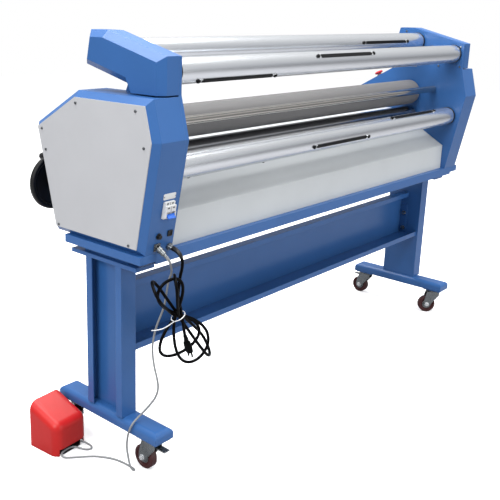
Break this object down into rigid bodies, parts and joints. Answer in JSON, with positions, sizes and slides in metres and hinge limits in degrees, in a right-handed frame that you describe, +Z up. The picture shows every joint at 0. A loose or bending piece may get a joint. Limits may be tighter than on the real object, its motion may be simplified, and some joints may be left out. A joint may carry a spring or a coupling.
{
  "type": "cold roll laminator",
  "caption": "Wide-format cold roll laminator on a wheeled stand, with raising top roller, media shafts, slanted control faces, handwheel and foot pedal.",
  "frame": {"origin": "on the floor midway between the four casters, under the middle of the rollers", "axes": "+X along the rollers from the electrical cabinet to the far cabinet, +Y towards the operator's side with the feed table and handwheel, +Z up"},
  "size_m": [2.0628, 0.597, 1.277],
  "materials": {
    "blue_paint": "semi-gloss powder coat",
    "grey_panel": "satin grey enamel",
    "grey_sheet": "satin light grey enamel",
    "roller_rubber": "smooth dark grey silicone rubber",
    "roller_steel": "ground steel",
    "shaft_alloy": "satin anodised",
    "rod_chrome": "polished",
    "zinc_steel": "bright zinc plate",
    "dark_steel": "oiled steel",
    "cast_metal": "grey casting",
    "black_plastic": "matt black",
    "white_plastic": "matt off-white",
    "lever_blue": "gloss blue",
    "stop_red": "gloss red",
    "stop_collar": "matt yellow",
    "pedal_red": "semi-gloss red",
    "wheel_red": "dark red polyurethane tyre",
    "cable_grey": "grey pvc sheath",
    "cord_black": "black rubber sheath",
    "circuit_green": "enclosed circuit unit"
  },
  "bodies": {
    "machine": {"leg_left": "blue_paint", "leg_right": "blue_paint", "foot_left": "blue_paint", "foot_right": "blue_paint", "stretcher": "blue_paint", "base_frame": "blue_paint", "side_frame_left": "blue_paint", "side_frame_right": "blue_paint", "cabinet_shell_left": "blue_paint", "cabinet_shell_right": "blue_paint", "arm_housing_left": "blue_paint", "arm_housing_right": "blue_paint", "end_panel_left": "grey_panel", "end_panel_right": "grey_panel", "rear_apron": "grey_sheet", "front_table": "grey_sheet", "cover_screws": "zinc_steel", "stretcher_bolts": "zinc_steel", "pedal_connector": "zinc_steel", "cable_gland": "zinc_steel", "breaker_body": "white_plastic", "rear_sockets": "black_plastic", "pedal_base": "black_plastic", "mains_plug": "black_plastic", "estop_collar": "stop_collar", "controller_box": "circuit_green", "gearmotor": "cast_metal", "bottom_bearings": "dark_steel", "drive_chain": "dark_steel", "pedal_guard": "pedal_red", "pedal_cable": "cable_grey", "mains_cord": "cord_black", "mains_hank": "cord_black"},
    "lift": {"lift_blocks": "cast_metal"},
    "top_roller": {"top_roller_core": "shaft_alloy", "top_roller_sleeve": "roller_rubber"},
    "breaker_lever": {"breaker_lever": "lever_blue"},
    "estop_button": {"estop_button": "stop_red"},
    "speed_knob": {"speed_knob": "black_plastic"},
    "run_switch": {"run_switch": "black_plastic"},
    "bottom_roller": {"bottom_roller": "roller_steel"},
    "guide_rod": {"guide_rod": "rod_chrome"},
    "upper_front_shaft": {"upper_front_shaft": "shaft_alloy"},
    "upper_rear_shaft": {"upper_rear_shaft": "shaft_alloy"},
    "lower_rear_shaft": {"lower_rear_shaft": "shaft_alloy"},
    "lift_shaft": {"lift_shaft": "zinc_steel"},
    "handwheel": {"handwheel": "black_plastic"},
    "motor_sprocket": {"motor_sprocket": "dark_steel"},
    "pedal_treadle": {"pedal_treadle": "black_plastic"},
    "caster_left_rear_fork": {"caster_left_rear_fork": "zinc_steel"},
    "caster_left_front_fork": {"caster_left_front_fork": "zinc_steel"},
    "caster_right_front_fork": {"caster_right_front_fork": "zinc_steel"},
    "caster_right_rear_fork": {"caster_right_rear_fork": "zinc_steel"},
    "caster_left_rear_wheel": {"caster_left_rear_wheel": "wheel_red"},
    "caster_left_front_wheel": {"caster_left_front_wheel": "wheel_red"},
    "caster_right_front_wheel": {"caster_right_front_wheel": "wheel_red"},
    "caster_right_rear_wheel": {"caster_right_rear_wheel": "wheel_red"},
    "caster_left_rear_brake": {"caster_left_rear_brake": "zinc_steel"},
    "caster_left_front_brake": {"caster_left_front_brake": "zinc_steel"},
    "caster_right_front_brake": {"caster_right_front_brake": "zinc_steel"}
  },
  "joints": [
    {"name": "roller_lift", "type": "slide", "parent": "machine", "child": "lift", "axis": [0, 0, 1], "range_m": [-0.0092, 0.018]},
    {"name": "top_roller_spin", "type": "hinge", "parent": "lift", "child": "top_roller", "pos_m": [0, 0.005, 1.003], "axis": [1, 0, 0], "continuous": true},
    {"name": "lift_shaft_turn", "type": "hinge", "parent": "machine", "child": "lift_shaft", "pos_m": [0, 0.08, 0.85], "axis": [1, 0, 0], "range_deg": [-69.8, 36.1]},
    {"name": "handwheel_turn", "type": "hinge", "parent": "machine", "child": "handwheel", "pos_m": [-0.915, 0.265, 0.815], "axis": [0, 1, 0], "range_deg": [-1395, 723]},
    {"name": "bottom_roller_spin", "type": "hinge", "parent": "machine", "child": "bottom_roller", "pos_m": [0, 0.005, 0.8894], "axis": [1, 0, 0], "continuous": true},
    {"name": "motor_sprocket_spin", "type": "hinge", "parent": "machine", "child": "motor_sprocket", "pos_m": [-0.888, -0.095, 0.735], "axis": [1, 0, 0], "continuous": true},
    {"name": "guide_rod_spin", "type": "hinge", "parent": "machine", "child": "guide_rod", "pos_m": [0, -0.101, 1.023], "axis": [1, 0, 0], "continuous": true},
    {"name": "upper_front_shaft_spin", "type": "hinge", "parent": "machine", "child": "upper_front_shaft", "pos_m": [0, -0.006, 1.219], "axis": [1, 0, 0], "continuous": true},
    {"name": "upper_rear_shaft_spin", "type": "hinge", "parent": "machine", "child": "upper_rear_shaft", "pos_m": [0, -0.174, 1.174], "axis": [1, 0, 0], "continuous": true},
    {"name": "lower_rear_shaft_spin", "type": "hinge", "parent": "machine", "child": "lower_rear_shaft", "pos_m": [0, -0.175, 0.914], "axis": [1, 0, 0], "continuous": true},
    {"name": "breaker_throw", "type": "hinge", "parent": "machine", "child": "breaker_lever", "pos_m": [-0.897, -0.22216, 0.79788], "axis": [1, 0, 0], "range_deg": [-70, 0]},
    {"name": "estop_press", "type": "slide", "parent": "machine", "child": "estop_button", "axis": [0, -0.4942, -0.8694], "range_m": [0, 0.004], "stiffness_N_per_m": 900, "springref_m": -0.003},
    {"name": "speed_turn", "type": "hinge", "parent": "machine", "child": "speed_knob", "pos_m": [-0.905, 0.135, 1.08187], "axis": [0, 0.4942, 0.8694], "range_deg": [-140, 140]},
    {"name": "run_select", "type": "hinge", "parent": "machine", "child": "run_switch", "pos_m": [-0.905, 0.205, 1.04208], "axis": [0, 0.4942, 0.8694], "range_deg": [-45, 45]},
    {"name": "caster_left_rear_swivel", "type": "hinge", "parent": "machine", "child": "caster_left_rear_fork", "pos_m": [-0.909, -0.175, 0.1], "axis": [0, 0, 1], "continuous": true},
    {"name": "caster_left_rear_roll", "type": "hinge", "parent": "caster_left_rear_fork", "child": "caster_left_rear_wheel", "pos_m": [-0.909, -0.145, 0.0375], "axis": [-1, 0, 0], "continuous": true},
    {"name": "caster_left_rear_brake_press", "type": "hinge", "parent": "caster_left_rear_fork", "child": "caster_left_rear_brake", "pos_m": [-0.909, -0.183, 0.088], "axis": [1, 0, 0], "range_deg": [0, 10]},
    {"name": "caster_left_front_swivel", "type": "hinge", "parent": "machine", "child": "caster_left_front_fork", "pos_m": [-0.909, 0.175, 0.1], "axis": [0, 0, 1], "range_deg": [-165, 45]},
    {"name": "caster_left_front_roll", "type": "hinge", "parent": "caster_left_front_fork", "child": "caster_left_front_wheel", "pos_m": [-0.894, 0.20098, 0.0375], "axis": [-0.866, 0.5, 0], "continuous": true},
    {"name": "caster_left_front_brake_press", "type": "hinge", "parent": "caster_left_front_fork", "child": "caster_left_front_brake", "pos_m": [-0.899, 0.19232, 0.088], "axis": [-0.866, 0.5, 0], "range_deg": [0, 10]},
    {"name": "caster_right_front_swivel", "type": "hinge", "parent": "machine", "child": "caster_right_front_fork", "pos_m": [0.909, 0.175, 0.1], "axis": [0, 0, 1], "continuous": true},
    {"name": "caster_right_front_roll", "type": "hinge", "parent": "caster_right_front_fork", "child": "caster_right_front_wheel", "pos_m": [0.909, 0.205, 0.0375], "axis": [-1, 0, 0], "continuous": true},
    {"name": "caster_right_front_brake_press", "type": "hinge", "parent": "caster_right_front_fork", "child": "caster_right_front_brake", "pos_m": [0.909, 0.195, 0.088], "axis": [-1, 0, 0], "range_deg": [0, 10]},
    {"name": "caster_right_rear_swivel", "type": "hinge", "parent": "machine", "child": "caster_right_rear_fork", "pos_m": [0.909, -0.175, 0.1], "axis": [0, 0, 1], "continuous": true},
    {"name": "caster_right_rear_roll", "type": "hinge", "parent": "caster_right_rear_fork", "child": "caster_right_rear_wheel", "pos_m": [0.88972, -0.15202, 0.0375], "axis": [-0.766, -0.6428, 0], "continuous": true},
    {"name": "pedal_press", "type": "hinge", "parent": "machine", "child": "pedal_treadle", "pos_m": [-1.01102, 0.10584, 0.024], "axis": [-0.9962, -0.0872, 0], "range_deg": [0, 6], "stiffness_Nm_per_rad": 12, "springref_deg": -6.88}
  ],
  "couplings": [
    {"joint": "lift_shaft_turn", "follows": "roller_lift", "rad_per_m": -66.667},
    {"joint": "handwheel_turn", "follows": "roller_lift", "rad_per_m": -1333.3},
    {"joint": "motor_sprocket_spin", "follows": "bottom_roller_spin", "ratio": 1}
  ]
}
